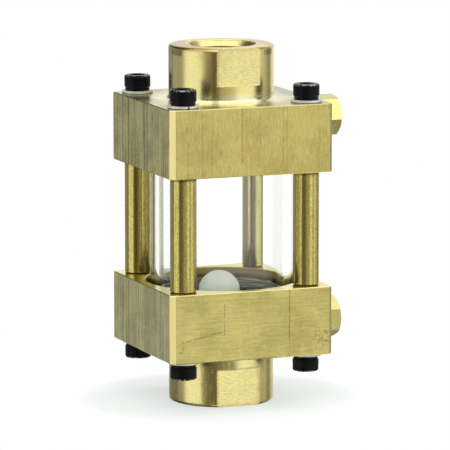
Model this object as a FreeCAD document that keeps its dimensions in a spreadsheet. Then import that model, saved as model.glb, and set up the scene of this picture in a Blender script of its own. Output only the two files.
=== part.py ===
import FreeCAD, Part
import math
import os
import Sketcher

# Sight flow indicator: two brass end blocks held apart by four turned pillars,
# with a glass tube between them and a ball that the flow lifts.
# Millimetres. The origin is the centre of the lower port's end face and +Z is up
# the flow axis. +X points to the side that carries the two hexagonal stop screws,
# and -Y is the wide face that shows in front.
# The upper half is the lower half turned over about X, so both halves are made in
# one half frame: its origin is the centre of the port face and +Z points inwards.

document = FreeCAD.newDocument("sight_flow_indicator")
sheet = document.addObject("Spreadsheet::Sheet", "sizes")

driving_sizes = {
    # End block
    "block_width": 65.0,
    "block_height": 26.0,
    "corner_chamfer": 2.0,
    "port_side_chamfer": 1.2,
    "edge_break": 0.3,
    # Spigot with the pipe thread, turned on the end block
    "spigot_diameter": 40.0,
    "spigot_length": 20.5,
    "spigot_rounding": 1.3,
    "spigot_root_radius": 1.5,
    "flat_depth": 2.0,
    "flats_length": 14.3,
    # Three-quarter inch parallel pipe thread, bored at its major diameter
    "port_thread_diameter": 26.44,
    "port_mouth_diameter": 26.9,
    "port_thread_depth": 17.0,
    "drill_point_angle": 118.0,
    # Flow bore and the recess that takes gasket and glass
    "flow_bore_diameter": 18.5,
    "recess_depth": 6.0,
    # Glass tube and gaskets, between the pillars
    "pillar_to_glass": 3.0,
    "glass_to_recess": 2.0,
    "glass_wall": 3.2,
    "glass_edge_bevel": 0.4,
    "gasket_thickness": 2.0,
    "gasket_bore_diameter": 19.5,
    "gasket_rim_clearance": 0.25,
    # Pillars
    "pillar_length": 43.6,
    "pillar_diameter": 10.0,
    "pillar_inset": 7.75,
    "pillar_chamfer": 0.5,
    "pillar_bore_spare": 2.0,
    # Socket head cap screws, M6
    "screw_diameter": 6.0,
    "screw_length": 40.0,
    "screw_head_diameter": 10.0,
    "screw_head_height": 6.0,
    "screw_head_rounding": 0.6,
    "screw_head_relief_depth": 0.35,
    "screw_head_relief_height": 1.6,
    "screw_tip_chamfer": 0.8,
    "socket_across_flats": 5.0,
    "socket_depth": 3.0,
    "screw_hole_clearance": 0.3,
    "thread_clearance": 0.05,
    # Split spring washers
    "washer_diameter": 11.8,
    "washer_thickness": 1.0,
    "washer_bore_clearance": 0.25,
    "washer_split": 0.8,
    "washer_split_lean": 25.0,
    # The turns at which the washers' splits and the hexagons happened to stop
    "lower_washer_turn": 40.0,
    "upper_washer_turn": -75.0,
    "next_washer_turn": 175.0,
    "lower_stop_turn": 3.0,
    "upper_stop_turn": -22.0,
    # Stop screws in the side ports, eighth inch parallel thread
    "side_port_height": 8.6,
    "side_thread_diameter": 9.7,
    "side_thread_length": 10.0,
    "side_thread_spare": 1.0,
    "side_core_diameter": 8.8,
    "side_mouth_chamfer": 0.4,
    "stop_hex_across_flats": 14.0,
    "stop_hex_length": 13.5,
    "stop_hex_face_share": 0.95,
    "stop_hex_bevel_angle": 30.0,
    "stop_pin_diameter": 8.5,
    "stop_pin_tip_gap": 3.0,
    "stop_pin_chamfer": 0.6,
    "seal_outer_diameter": 13.6,
    "seal_bore_clearance": 0.15,
    "seal_thickness": 1.0,
    # Ball, resting on the lower stop pin and leaning on the bore wall
    "ball_diameter": 16.0,
    "ball_rest_gap": 0.3,
    "ball_side_gap": 0.25,
    "ball_lean_direction": 115.0,
}

# Sizes that follow from the driving ones
following_sizes = {
    "block_half": "block_width / 2",
    "pillar_offset": "block_half - pillar_inset",
    "glass_radius": "sqrt(2) * pillar_offset - pillar_diameter / 2 - pillar_to_glass",
    "recess_radius": "glass_radius + glass_to_recess",
    "flat_from_axis": "spigot_diameter / 2 - flat_depth",
    "half_height": "spigot_length + block_height",
    "overall_height": "2 * half_height + pillar_length",
    "recess_floor": "half_height - recess_depth",
    "glass_foot": "recess_floor + gasket_thickness",
    "glass_length": "overall_height - 2 * glass_foot",
    "flow_radius": "flow_bore_diameter / 2",
    "pillar_bore_diameter": "screw_diameter + 2 * thread_clearance",
    "pillar_bore_depth": "screw_length - washer_thickness - block_height + pillar_bore_spare",
    "side_port_axis": "spigot_length + side_port_height",
    "ball_radius": "ball_diameter / 2",
    "ball_lean": "flow_radius - ball_radius - ball_side_gap",
    "ball_to_pin": "ball_radius + stop_pin_diameter / 2 + ball_rest_gap",
}

# The four corners of a block, as the signs of X and Y
corners = ((-1, -1), (1, -1), (1, 1), (-1, 1))

full_turn = 360.0

# Lengths and volumes closer than this are taken as equal
tolerance = 1e-4


def fill_sheet():
    """Write every size into the sheet, one aliased row each."""
    row = 0
    for name, size in driving_sizes.items():
        row += 1
        sheet.set(f"A{row}", name)
        sheet.set(f"B{row}", str(size))
        sheet.setAlias(f"B{row}", name)
    for name, formula in following_sizes.items():
        row += 1
        sheet.set(f"A{row}", name)
        sheet.set(f"B{row}", f"={formula}")
        sheet.setAlias(f"B{row}", name)
    document.recompute()


def size(name):
    """The present value of a named size."""
    return float(getattr(sheet, name))


def bind(thing, **formulas):
    """Bind properties to formulas in which every name is a named size."""
    for path, formula in formulas.items():
        thing.setExpression(path.replace("__", "."), in_sheet(formula))


def in_sheet(formula):
    """Put the sheet's name in front of every named size in a formula."""
    words = []
    word = ""
    for letter in str(formula) + " ":
        if letter.isalnum() or letter == "_":
            word += letter
            continue
        if word in driving_sizes or word in following_sizes:
            word = "sizes." + word
        words.append(word + letter)
        word = ""
    return "".join(words).strip()


def worked_out(thing, formula):
    """The number that a formula gives."""
    return float(thing.evalExpression(in_sheet(formula)))


def new_body(name):
    """An empty body whose label is the name of the sub-part."""
    body = document.addObject("PartDesign::Body", name)
    body.Label = name
    return body


def origin_feature(body, role):
    """One of the body's own origin planes or axes."""
    return [item for item in body.Origin.OriginFeatures if item.Role == role][0]


def new_sketch(body, name, plane):
    """A sketch on one of the body's own origin planes."""
    sketch = body.newObject("Sketcher::SketchObject", name)
    sketch.AttachmentSupport = (origin_feature(body, plane), [""])
    sketch.MapMode = "FlatFace"
    return sketch


def pin_point(sketch, geometry, point, x, y):
    """Fix a point of a sketch at two formulas, measured from the sketch's origin."""
    axes = (("DistanceX", x, -2), ("DistanceY", y, -1))
    for kind, formula, axis in axes:
        place = worked_out(sketch, formula)
        if at(place, 0):
            sketch.addConstraint(Sketcher.Constraint("PointOnObject", geometry, point, axis))
        elif place > 0:
            number = sketch.addConstraint(Sketcher.Constraint(kind, -1, 1, geometry, point, place))
            sketch.setExpression(f"Constraints[{number}]", in_sheet(formula))
        else:
            number = sketch.addConstraint(Sketcher.Constraint(kind, geometry, point, -1, 1, -place))
            sketch.setExpression(f"Constraints[{number}]", in_sheet(f"-({formula})"))


def closed_outline(body, name, plane, corners):
    """A sketch of straight lines through corners, each a pair of formulas."""
    sketch = new_sketch(body, name, plane)
    places = [FreeCAD.Vector(worked_out(sketch, x), worked_out(sketch, y), 0) for x, y in corners]
    count = len(places)
    for number in range(count):
        line = Part.LineSegment(places[number], places[(number + 1) % count])
        sketch.addGeometry(line, False)
    for number in range(count):
        following = (number + 1) % count
        sketch.addConstraint(Sketcher.Constraint("Coincident", number, 2, following, 1))
    for number, (x, y) in enumerate(corners):
        pin_point(sketch, number, 1, x, y)
    return sketch


def circles(body, name, plane, rings):
    """A sketch of circles, each given by its centre and diameter as formulas."""
    sketch = new_sketch(body, name, plane)
    for number, (x, y, diameter) in enumerate(rings):
        centre = FreeCAD.Vector(worked_out(sketch, x), worked_out(sketch, y), 0)
        wide = worked_out(sketch, diameter)
        sketch.addGeometry(Part.Circle(centre, FreeCAD.Vector(0, 0, 1), wide / 2), False)
        pin_point(sketch, number, 3, x, y)
        constraint = sketch.addConstraint(Sketcher.Constraint("Diameter", number, wide))
        sketch.setExpression(f"Constraints[{constraint}]", in_sheet(diameter))
    return sketch


def feature(body, kind, name, sketch, **formulas):
    """A PartDesign feature made from a sketch."""
    made = body.newObject(f"PartDesign::{kind}", name)
    made.Profile = sketch
    bind(made, **formulas)
    sketch.Visibility = False
    return made


def turned(body, kind, name, sketch, axis="V_Axis"):
    """A full revolution or groove about one of the sketch's axes."""
    made = feature(body, kind, name, sketch)
    made.ReferenceAxis = (sketch, [axis])
    made.Angle = full_turn
    return made


def must_cut(body, before):
    """Stop if the last feature left the body's volume as it was."""
    document.recompute()
    if body.Shape.Volume > before - tolerance:
        raise RuntimeError(f"the last cut in {body.Label} removed nothing")
    return body.Shape.Volume


def dress_edges(body, kind, name, wanted, **formulas):
    """A chamfer or fillet on the edges of the body's tip that a test picks."""
    document.recompute()
    base = body.Tip
    names = [f"Edge{number}" for number, edge in enumerate(base.Shape.Edges, 1) if wanted(edge)]
    made = body.newObject(f"PartDesign::{kind}", name)
    made.Base = (base, names)
    bind(made, **formulas)
    return made


def is_straight(edge):
    return isinstance(edge.Curve, (Part.Line, Part.LineSegment))


def at(value, wanted):
    return abs(value - wanted) < tolerance


def into_half(thing, half):
    """Leave a piece in the lower half, or turn it over into the upper half."""
    if half == "upper":
        over = FreeCAD.Rotation(FreeCAD.Vector(1, 0, 0), 180)
        thing.Placement = FreeCAD.Placement(FreeCAD.Vector(0, 0, size("overall_height")), over)
        bind(thing, Placement__Base__z="overall_height")
    return thing


# End blocks

def make_block(half):
    body = new_body(f"{half}_block")
    outline = closed_outline(body, f"{half}_block_outline", "XY_Plane", [
        ("-block_half", "-block_half"),
        ("block_half", "-block_half"),
        ("block_half", "block_half"),
        ("-block_half", "block_half"),
    ])
    bind(outline, AttachmentOffset__Base__z="spigot_length")
    feature(body, "Pad", f"{half}_block_pad", outline, Length="block_height")

    def is_corner(edge, x_side):
        middle = edge.CenterOfMass
        reach = size("block_half")
        return at(middle.x, x_side * reach) and at(abs(middle.y), reach)

    # The corners next to the side port are chamfered less than the other two
    dress_edges(
        body, "Chamfer", f"{half}_block_corners",
        lambda edge: is_corner(edge, -1), Size="corner_chamfer",
    )
    dress_edges(
        body, "Chamfer", f"{half}_port_side_corners",
        lambda edge: is_corner(edge, 1), Size="port_side_chamfer",
    )

    def is_rim(edge):
        heights = {round(vertex.Z, 4) for vertex in edge.Vertexes}
        return is_straight(edge) and len(heights) == 1

    dress_edges(body, "Chamfer", f"{half}_block_edge_breaks", is_rim, Size="edge_break")

    spigot = closed_outline(body, f"{half}_spigot_outline", "XZ_Plane", [
        ("0", "0"),
        ("spigot_diameter / 2", "0"),
        ("spigot_diameter / 2", "spigot_length"),
        ("0", "spigot_length"),
    ])
    turned(body, "Revolution", f"{half}_spigot", spigot)

    def is_round_spigot(edge, height):
        wide = edge.BoundBox.XLength
        return at(edge.CenterOfMass.z, height) and at(wide, size("spigot_diameter"))

    dress_edges(
        body, "Fillet", f"{half}_spigot_rim",
        lambda edge: is_round_spigot(edge, 0), Radius="spigot_rounding",
    )
    dress_edges(
        body, "Fillet", f"{half}_spigot_root",
        lambda edge: is_round_spigot(edge, size("spigot_length")), Radius="spigot_root_radius",
    )
    document.recompute()
    volume = body.Shape.Volume

    flat = closed_outline(body, f"{half}_flat_outline", "XY_Plane", [
        ("-spigot_diameter", "flat_from_axis"),
        ("spigot_diameter", "flat_from_axis"),
        ("spigot_diameter", "spigot_diameter"),
        ("-spigot_diameter", "spigot_diameter"),
    ])
    flat_cut = feature(body, "Pocket", f"{half}_flat", flat, Length="flats_length")
    flat_cut.Reversed = True
    volume = must_cut(body, volume)
    both_flats = body.newObject("PartDesign::Mirrored", f"{half}_both_flats")
    both_flats.Originals = [flat_cut]
    both_flats.MirrorPlane = (origin_feature(body, "XZ_Plane"), [""])
    body.Tip = both_flats
    volume = must_cut(body, volume)

    drill_depth = "(port_thread_diameter / 2 - flow_radius) / tan(drill_point_angle / 2)"
    waterway = closed_outline(body, f"{half}_waterway_outline", "XZ_Plane", [
        ("0", "0"),
        ("port_mouth_diameter / 2", "0"),
        ("port_thread_diameter / 2", "(port_mouth_diameter - port_thread_diameter) / 2"),
        ("port_thread_diameter / 2", "port_thread_depth"),
        ("flow_radius", f"port_thread_depth + {drill_depth}"),
        ("flow_radius", "recess_floor"),
        ("recess_radius", "recess_floor"),
        ("recess_radius", "half_height - edge_break"),
        ("recess_radius + edge_break", "half_height"),
        ("0", "half_height"),
    ])
    turned(body, "Groove", f"{half}_waterway", waterway)
    volume = must_cut(body, volume)

    hole = circles(body, f"{half}_screw_hole_outline", "XY_Plane", [
        ("pillar_offset", "pillar_offset", "screw_diameter + 2 * screw_hole_clearance"),
    ])
    screw_hole = feature(body, "Pocket", f"{half}_screw_hole", hole, Length="half_height")
    screw_hole.Reversed = True
    volume = must_cut(body, volume)
    screw_holes = body.newObject("PartDesign::PolarPattern", f"{half}_screw_holes")
    screw_holes.Originals = [screw_hole]
    screw_holes.Axis = (origin_feature(body, "Z_Axis"), [""])
    screw_holes.Angle = full_turn
    screw_holes.Occurrences = len(corners)
    body.Tip = screw_holes
    volume = must_cut(body, volume)

    thread_end = "block_half - side_thread_length - side_thread_spare"
    side_port = closed_outline(body, f"{half}_side_port_outline", "XZ_Plane", [
        ("0", "0"),
        ("block_half", "0"),
        ("block_half", "side_thread_diameter / 2 + thread_clearance + side_mouth_chamfer"),
        ("block_half - side_mouth_chamfer", "side_thread_diameter / 2 + thread_clearance"),
        (thread_end, "side_thread_diameter / 2 + thread_clearance"),
        (thread_end, "side_core_diameter / 2"),
        ("0", "side_core_diameter / 2"),
    ])
    bind(side_port, AttachmentOffset__Base__y="side_port_axis")
    turned(body, "Groove", f"{half}_side_port", side_port, "H_Axis")
    must_cut(body, volume)
    return into_half(body, half)


# Pillars

def make_pillar(name, x_side, y_side):
    body = new_body(name)
    rod = closed_outline(body, f"{name}_outline", "XZ_Plane", [
        ("0", "0"),
        ("pillar_diameter / 2 - pillar_chamfer", "0"),
        ("pillar_diameter / 2", "pillar_chamfer"),
        ("pillar_diameter / 2", "pillar_length - pillar_chamfer"),
        ("pillar_diameter / 2 - pillar_chamfer", "pillar_length"),
        ("0", "pillar_length"),
    ])
    turned(body, "Revolution", f"{name}_rod", rod)
    document.recompute()
    volume = body.Shape.Volume
    point = "pillar_bore_diameter / 2 / tan(drill_point_angle / 2)"
    bore = closed_outline(body, f"{name}_lower_bore_outline", "XZ_Plane", [
        ("0", "0"),
        ("pillar_bore_diameter / 2", "0"),
        ("pillar_bore_diameter / 2", "pillar_bore_depth"),
        ("0", f"pillar_bore_depth + {point}"),
    ])
    turned(body, "Groove", f"{name}_lower_bore", bore)
    volume = must_cut(body, volume)
    bore = closed_outline(body, f"{name}_upper_bore_outline", "XZ_Plane", [
        ("0", "pillar_length"),
        ("pillar_bore_diameter / 2", "pillar_length"),
        ("pillar_bore_diameter / 2", "pillar_length - pillar_bore_depth"),
        ("0", f"pillar_length - pillar_bore_depth - {point}"),
    ])
    turned(body, "Groove", f"{name}_upper_bore", bore)
    must_cut(body, volume)
    bind(
        body,
        Placement__Base__x=f"{x_side} * pillar_offset",
        Placement__Base__y=f"{y_side} * pillar_offset",
        Placement__Base__z="half_height",
    )
    return body


# Cap screws and their washers, four to each block

def make_screw(name, x_side, y_side):
    """One cap screw, its shank along +Z from the plane under its head."""
    body = new_body(name)
    relief = "screw_head_diameter / 2 - screw_head_relief_depth"
    turning = closed_outline(body, f"{name}_outline", "XZ_Plane", [
        ("0", "-screw_head_height"),
        ("screw_head_diameter / 2", "-screw_head_height"),
        ("screw_head_diameter / 2", "-screw_head_relief_height"),
        (relief, "-screw_head_relief_height + screw_head_relief_depth"),
        (relief, "0"),
        ("screw_diameter / 2", "0"),
        ("screw_diameter / 2", "screw_length - screw_tip_chamfer"),
        ("screw_diameter / 2 - screw_tip_chamfer", "screw_length"),
        ("0", "screw_length"),
    ])
    turned(body, "Revolution", f"{name}_turning", turning)

    def is_head_edge(edge):
        middle = edge.CenterOfMass
        wide = edge.BoundBox.XLength
        return at(middle.z, -size("screw_head_height")) and at(wide, size("screw_head_diameter"))

    dress_edges(body, "Fillet", f"{name}_rounding", is_head_edge, Radius="screw_head_rounding")
    document.recompute()
    volume = body.Shape.Volume
    reach = "socket_across_flats / sqrt(3)"
    socket = closed_outline(body, f"{name}_socket_outline", "XY_Plane", [
        (f"{reach} * cos(30)", f"{reach} / 2"),
        ("0", reach),
        (f"-{reach} * cos(30)", f"{reach} / 2"),
        (f"-{reach} * cos(30)", f"-{reach} / 2"),
        ("0", f"-{reach}"),
        (f"{reach} * cos(30)", f"-{reach} / 2"),
    ])
    bind(socket, AttachmentOffset__Base__z="-screw_head_height")
    pocket = feature(body, "Pocket", f"{name}_socket", socket, Length="socket_depth")
    pocket.Reversed = True
    must_cut(body, volume)
    bind(
        body,
        Placement__Base__x=f"{x_side} * pillar_offset",
        Placement__Base__y=f"{y_side} * pillar_offset",
        Placement__Base__z="spigot_length - washer_thickness",
    )
    return body


def make_washer(name, x_side, y_side, turn):
    """One spring washer, sprung flat, its slanting split turned to face a direction."""
    body = new_body(name)
    ring = circles(body, f"{name}_outline", "XY_Plane", [
        ("0", "0", "washer_diameter"),
        ("0", "0", "screw_diameter + 2 * washer_bore_clearance"),
    ])
    feature(body, "Pad", f"{name}_ring", ring, Length="washer_thickness")
    document.recompute()
    volume = body.Shape.Volume
    lean = "washer_thickness * tan(washer_split_lean)"
    split = closed_outline(body, f"{name}_split_outline", "YZ_Plane", [
        (f"-(washer_split + {lean}) / 2", "0"),
        (f"(washer_split - {lean}) / 2", "0"),
        (f"(washer_split + {lean}) / 2", "washer_thickness"),
        (f"-(washer_split - {lean}) / 2", "washer_thickness"),
    ])
    feature(body, "Pocket", f"{name}_split", split, Length="washer_diameter").Reversed = True
    must_cut(body, volume)
    body.Placement.Rotation = FreeCAD.Rotation(FreeCAD.Vector(0, 0, 1), turn)
    bind(
        body,
        Placement__Base__x=f"{x_side} * pillar_offset",
        Placement__Base__y=f"{y_side} * pillar_offset",
        Placement__Base__z="spigot_length - washer_thickness",
    )
    return body


def make_set(name, half, pieces):
    """Four like pieces of one half, kept as separate solids in one sub-part."""
    group = document.addObject("Part::Compound", name)
    group.Label = name
    group.Links = pieces
    return into_half(group, half)


def make_screw_set(half):
    screws = []
    for number, (x_side, y_side) in enumerate(corners, 1):
        screws.append(make_screw(f"{half}_screw_{number}", x_side, y_side))
    return make_set(f"{half}_cap_screws", half, screws)


def make_washer_set(half):
    washers = []
    turn = size(f"{half}_washer_turn")
    for number, (x_side, y_side) in enumerate(corners, 1):
        washers.append(make_washer(f"{half}_washer_{number}", x_side, y_side, turn))
        turn += size("next_washer_turn")
    return make_set(f"{half}_spring_washers", half, washers)


# Glass tube and gaskets

def make_glass():
    body = new_body("sight_glass")
    wall = closed_outline(body, "glass_outline", "XZ_Plane", [
        ("glass_radius - glass_wall", "0"),
        ("glass_radius", "0"),
        ("glass_radius", "glass_length"),
        ("glass_radius - glass_wall", "glass_length"),
    ])
    turned(body, "Revolution", "glass_wall_of_tube", wall)

    def is_end(edge):
        return at(edge.BoundBox.ZLength, 0)

    dress_edges(body, "Chamfer", "glass_bevels", is_end, Size="glass_edge_bevel")
    bind(body, Placement__Base__z="glass_foot")
    return body


def ring(name, outer, inner, height):
    """A flat ring lying on the XY plane, as a cylinder less its bore."""
    disc = document.addObject("Part::Cylinder", f"{name}_disc")
    bind(disc, Radius=f"({outer}) / 2", Height=height)
    bore = document.addObject("Part::Cylinder", f"{name}_bore")
    bind(bore, Radius=f"({inner}) / 2", Height=height)
    cut = document.addObject("Part::Cut", name)
    cut.Label = name
    cut.Base = disc
    cut.Tool = bore
    return cut


def make_gasket(half):
    outer = "2 * (recess_radius - gasket_rim_clearance)"
    gasket = ring(f"{half}_gasket", outer, "gasket_bore_diameter", "gasket_thickness")
    if half == "upper":
        bind(gasket, Placement__Base__z="overall_height - glass_foot")
    else:
        bind(gasket, Placement__Base__z="recess_floor")
    return gasket


# Stop screws and their seals

def stand_on_side(thing, half, height, turn):
    """Point a piece's +Z along +X at the side port of one half."""
    spin = FreeCAD.Rotation(FreeCAD.Vector(0, 0, 1), turn)
    lay = FreeCAD.Rotation(FreeCAD.Vector(0, 1, 0), 90)
    thing.Placement = FreeCAD.Placement(FreeCAD.Vector(0, 0, 0), lay.multiply(spin))
    axis = "side_port_axis" if half == "lower" else "overall_height - side_port_axis"
    bind(thing, Placement__Base__x=height, Placement__Base__z=axis)
    return thing


def make_stop_screw(half):
    """Hexagonal head on a threaded shank, whose pin crosses the flow bore."""
    name = f"{half}_stop_screw"
    blank = document.addObject("Part::Prism", f"{name}_blank")
    blank.Polygon = 6
    bind(blank, Circumradius="stop_hex_across_flats / sqrt(3)", Height="stop_hex_length")
    bevel = document.addObject("Part::Cone", f"{name}_bevel")
    face_radius = "stop_hex_across_flats / 2 * stop_hex_face_share"
    bind(
        bevel,
        Radius1=f"{face_radius} + stop_hex_length / tan(stop_hex_bevel_angle)",
        Radius2=face_radius,
        Height="stop_hex_length",
    )
    head = document.addObject("Part::Common", f"{name}_head")
    head.Base = blank
    head.Tool = bevel

    thread = document.addObject("Part::Cylinder", f"{name}_thread")
    thread_length = "side_thread_length + seal_thickness"
    bind(
        thread,
        Radius="side_thread_diameter / 2",
        Height=thread_length,
        Placement__Base__z=f"-({thread_length})",
    )
    pin_length = "block_half + seal_thickness + flow_radius - stop_pin_tip_gap"
    pin = document.addObject("Part::Cylinder", f"{name}_pin")
    bind(
        pin,
        Radius="stop_pin_diameter / 2",
        Height=f"{pin_length} - stop_pin_chamfer",
        Placement__Base__z=f"-({pin_length}) + stop_pin_chamfer",
    )
    tip = document.addObject("Part::Cone", f"{name}_tip")
    bind(
        tip,
        Radius1="stop_pin_diameter / 2 - stop_pin_chamfer",
        Radius2="stop_pin_diameter / 2",
        Height="stop_pin_chamfer",
        Placement__Base__z=f"-({pin_length})",
    )
    whole = document.addObject("Part::MultiFuse", f"{name}_whole")
    whole.Shapes = [head, thread, pin, tip]
    whole.Refine = True
    whole.Label = name
    turn = size(f"{half}_stop_turn")
    return stand_on_side(whole, half, "block_half + seal_thickness", turn)


def make_seal(half):
    bore = "side_thread_diameter + 2 * seal_bore_clearance"
    seal = ring(f"{half}_stop_seal", "seal_outer_diameter", bore, "seal_thickness")
    return stand_on_side(seal, half, "block_half", 0)


# Ball

def make_ball():
    """The ball rests on the lower stop pin, leaning on the wall of the flow bore."""
    ball = document.addObject("Part::Sphere", "flow_ball")
    ball.Label = "flow_ball"
    across_pin = "ball_lean * sin(ball_lean_direction)"
    bind(
        ball,
        Radius="ball_radius",
        Placement__Base__x="ball_lean * cos(ball_lean_direction)",
        Placement__Base__y=across_pin,
        Placement__Base__z=f"side_port_axis + sqrt(ball_to_pin ^ 2 - ({across_pin}) ^ 2)",
    )
    return ball


def make_all():
    fill_sheet()
    pieces = [make_block("lower"), make_block("upper")]
    for front_back, y_side in (("front", -1), ("back", 1)):
        for left_right, x_side in (("left", -1), ("right", 1)):
            pieces.append(make_pillar(f"pillar_{front_back}_{left_right}", x_side, y_side))
    for half in ("lower", "upper"):
        pieces.append(make_screw_set(half))
        pieces.append(make_washer_set(half))
        pieces.append(make_gasket(half))
        pieces.append(make_seal(half))
        pieces.append(make_stop_screw(half))
    pieces.append(make_glass())
    pieces.append(make_ball())
    document.recompute()
    return pieces


def check_all(pieces):
    """Stop at the first object that failed or has no sound shape."""
    for item in document.Objects:
        if "Invalid" in item.State or "Error" in item.State:
            raise RuntimeError(f"{item.Name} failed: {item.State}")
    for piece in pieces:
        if piece.Shape.isNull() or not piece.Shape.isValid():
            raise RuntimeError(f"{piece.Label} has no valid shape")


sub_parts = make_all()
check_all(sub_parts)
os.makedirs("parts", exist_ok=True)
for sub_part in sub_parts:
    sub_part.Shape.exportStep(f"parts/{sub_part.Label}.step")
    solids = len(sub_part.Shape.Solids)
    print(f"{sub_part.Label}: {solids} solids, {sub_part.Shape.Volume:.1f} mm3")
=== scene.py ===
import math

import bpy
from mathutils import Matrix, Vector


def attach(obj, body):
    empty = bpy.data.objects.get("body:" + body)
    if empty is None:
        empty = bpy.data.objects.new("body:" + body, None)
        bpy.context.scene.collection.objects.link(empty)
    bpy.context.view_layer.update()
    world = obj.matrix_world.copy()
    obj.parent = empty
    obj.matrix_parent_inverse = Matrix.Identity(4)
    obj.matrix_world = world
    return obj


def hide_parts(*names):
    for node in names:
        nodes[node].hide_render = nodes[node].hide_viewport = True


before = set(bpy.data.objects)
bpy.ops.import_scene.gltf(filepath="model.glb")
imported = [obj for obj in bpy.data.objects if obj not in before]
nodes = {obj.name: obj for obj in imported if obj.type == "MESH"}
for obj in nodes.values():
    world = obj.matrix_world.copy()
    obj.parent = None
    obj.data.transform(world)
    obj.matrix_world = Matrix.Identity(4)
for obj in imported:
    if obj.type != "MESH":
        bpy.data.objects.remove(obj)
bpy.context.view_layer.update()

MM = 0.001

# Sizes of the CAD part in millimetres. "From the middle" is from half its height.
BLOCK_HALF = 32.5
OVERALL_HEIGHT = 136.6
MIDDLE = OVERALL_HEIGHT / 2
CORNER_CHAMFER = 2.0
SPIGOT_LENGTH = 20.5
SPIGOT_RADIUS = 20.0
PORT_RADIUS = 13.3  # of the threaded bore, rounded up
OUTER_FACE = MIDDLE - SPIGOT_LENGTH  # of a block, from the middle
FLAT_FROM_AXIS = 18.0
FLAT_END = MIDDLE - 14.3  # of a wrench flat, from the middle
PILLAR_OFFSET = 24.75
PILLAR_HALF = 21.8
RECESS_RADIUS = 29.0
RECESS_FLOOR = PILLAR_HALF + 6.0  # from the middle
WASHER_THICKNESS = 1.0
HEAD_RADIUS = 5.0
HEAD_HEIGHT = 6.0
HEAD_TOP = OUTER_FACE + WASHER_THICKNESS + HEAD_HEIGHT  # from the middle
SOCKET_ACROSS = 5.0
SOCKET_DEPTH = 3.0
SHANK_RADIUS = 3.0
SHANK_LENGTH = 40.0


# Node graphs

class Graph:
    """The node tree of a material or of the world, with short ways to add nodes."""

    def __init__(self, owner):
        owner.use_nodes = True
        self.tree = owner.node_tree
        self.tree.nodes.clear()

    def put(self, socket, value):
        if isinstance(value, bpy.types.NodeSocket):
            self.tree.links.new(value, socket)
        elif hasattr(socket.default_value, "__len__"):
            value = tuple(value)
            if len(socket.default_value) == 4 and len(value) == 3:
                value += (1.0,)
            socket.default_value = value
        else:
            socket.default_value = value

    def add(self, kind, inputs=(), **settings):
        """A node of a kind. inputs maps a socket's name or number to a value or a socket."""
        node = self.tree.nodes.new(kind)
        for name, value in settings.items():
            setattr(node, name, value)
        for key, value in dict(inputs).items():
            self.put(node.inputs[key], value)
        return node

    def output(self, surface):
        self.add("ShaderNodeOutputMaterial", {"Surface": surface.outputs[0]})

    # Numbers

    def math(self, operation, first, second=0.0, third=0.0):
        inputs = {0: first, 1: second, 2: third}
        return self.add("ShaderNodeMath", inputs, operation=operation).outputs[0]

    def chain(self, operation, values):
        result = values[0]
        for value in values[1:]:
            result = self.math(operation, result, value)
        return result

    def sum(self, *values):
        return self.chain("ADD", values)

    def product(self, *values):
        return self.chain("MULTIPLY", values)

    def greatest(self, *values):
        return self.chain("MAXIMUM", values)

    def size(self, value):
        return self.math("ABSOLUTE", value)

    def distance(self, value, where):
        return self.size(self.math("SUBTRACT", value, where))

    def from_axis(self, x, y):
        return self.math("SQRT", self.sum(self.product(x, x), self.product(y, y)))

    def turn(self, x, y):
        """The direction of x and y in radians, from -Y to +X."""
        return self.math("ARCTAN2", x, self.product(y, -1.0))

    def turn_degrees(self, x, y):
        return self.product(self.turn(x, y), 360.0 / math.tau)

    def step(self, value, low, high, start=0.0, end=1.0):
        """start below low and end above high, with a smooth change between them."""
        inputs = {"Value": value, "From Min": low, "From Max": high, "To Min": start, "To Max": end}
        node = self.add("ShaderNodeMapRange", inputs, interpolation_type="SMOOTHSTEP")
        return node.outputs["Result"]

    def line(self, value, where, half_width):
        """1 where value is at a place, falling to 0 at half_width from it."""
        return self.step(self.distance(value, where), half_width * 0.35, half_width, 1.0, 0.0)

    def inside(self, value, low, high, soft):
        """1 between two values, falling to 0 within soft outside them."""
        rise = self.step(value, low - soft, low)
        return self.product(rise, self.step(value, high, high + soft, 1.0, 0.0))

    def patch(self, first, first_range, second, second_range):
        """1 where both values are inside their ranges of low, high and soft."""
        return self.product(self.inside(first, *first_range), self.inside(second, *second_range))

    def between(self, share, first, second):
        """A number between two numbers."""
        node = self.add("ShaderNodeMix", {0: share, 2: first, 3: second}, data_type="FLOAT")
        return node.outputs[0]

    # Colours and vectors

    def mix(self, share, first, second):
        """A colour between two colours."""
        node = self.add("ShaderNodeMix", {0: share, 6: first, 7: second}, data_type="RGBA")
        return node.outputs[2]

    def place(self):
        """The point on the piece in millimetres of the shared frame."""
        source = self.add("ShaderNodeTexCoord").outputs["Object"]
        return self.stretch(source, (1000.0, 1000.0, 1000.0))

    def stretch(self, vector, factors):
        inputs = {0: vector, 1: factors}
        return self.add("ShaderNodeVectorMath", inputs, operation="MULTIPLY").outputs[0]

    def split(self, vector):
        return self.add("ShaderNodeSeparateXYZ", {0: vector}).outputs

    def join(self, x, y, z):
        return self.add("ShaderNodeCombineXYZ", {0: x, 1: y, 2: z}).outputs[0]

    def noise(self, vector, scale, detail, roughness, along=None):
        """Noise from 0 to 1. A factor of along that is below 1 draws it out on that axis."""
        if along:
            vector = self.stretch(vector, along)
        inputs = {"Vector": vector, "Scale": scale, "Detail": detail, "Roughness": roughness}
        return self.add("ShaderNodeTexNoise", inputs).outputs[0]


def new_graph(name):
    material = bpy.data.materials.new(name)
    return material, Graph(material)


def surface(graph, inputs, height, depth):
    """A surface with a fine relief. height is in units of depth, which is in millimetres."""
    bump = graph.add("ShaderNodeBump", {"Strength": 1.0, "Distance": depth * MM, "Height": height})
    graph.output(graph.add("ShaderNodeBsdfPrincipled", {**inputs, "Normal": bump.outputs[0]}))


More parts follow.
